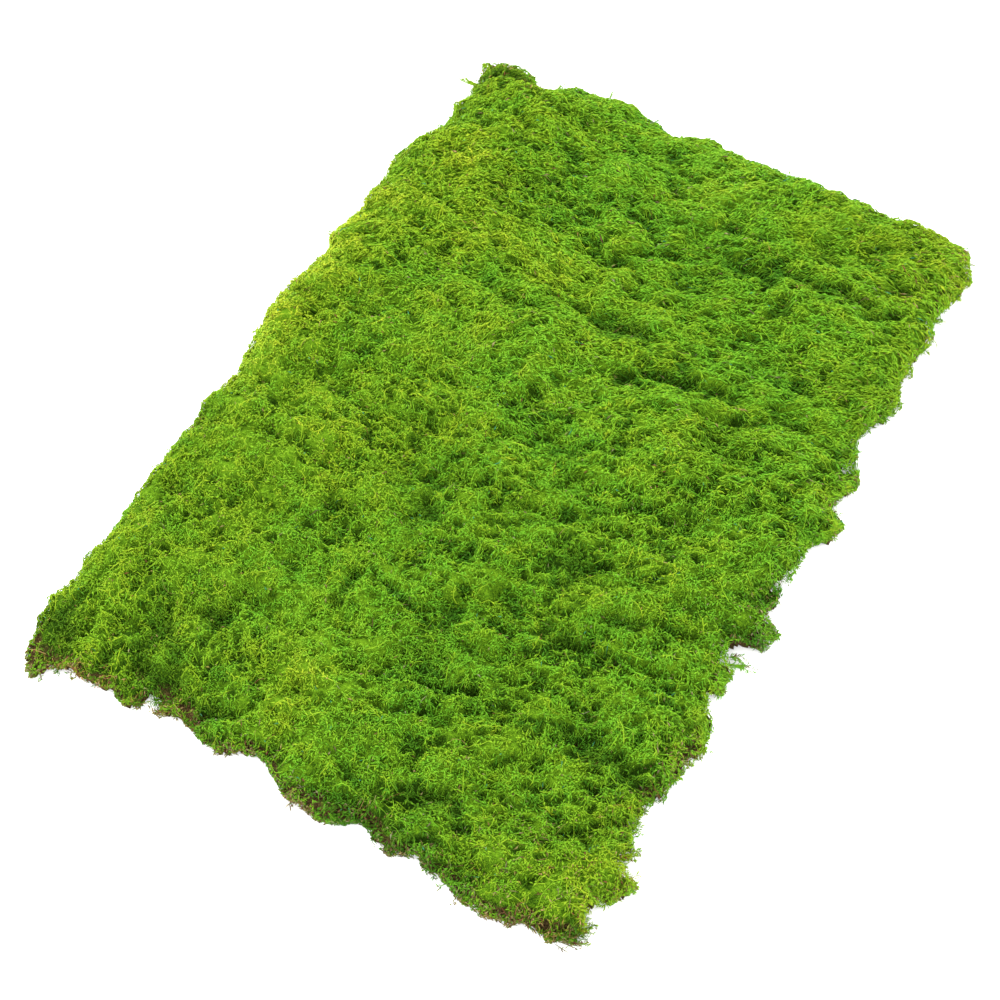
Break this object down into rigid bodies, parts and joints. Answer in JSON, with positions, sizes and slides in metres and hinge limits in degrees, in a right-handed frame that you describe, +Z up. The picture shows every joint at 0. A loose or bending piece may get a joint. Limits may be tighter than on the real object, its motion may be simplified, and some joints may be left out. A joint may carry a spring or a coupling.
{
  "type": "moss mat",
  "caption": "Torn rectangular mat of feathery green carpet moss, lying flat, with soft tufts on top, ragged edges and a flat cut underside.",
  "frame": {"origin": "middle of the bounding box's underside, on the flat cut face that the mat rests on", "axes": "+Z up out of the moss, +Y along the long way of the mat, +X along its short way"},
  "size_m": [0.432, 0.6164, 0.029],
  "materials": {
    "moss": "matte, feathery living shoots, lime green tips over dark green",
    "thatch": "matte, brown felted old growth"
  },
  "bodies": {
    "root": {"moss_mat": "moss"}
  },
  "joints": []
}
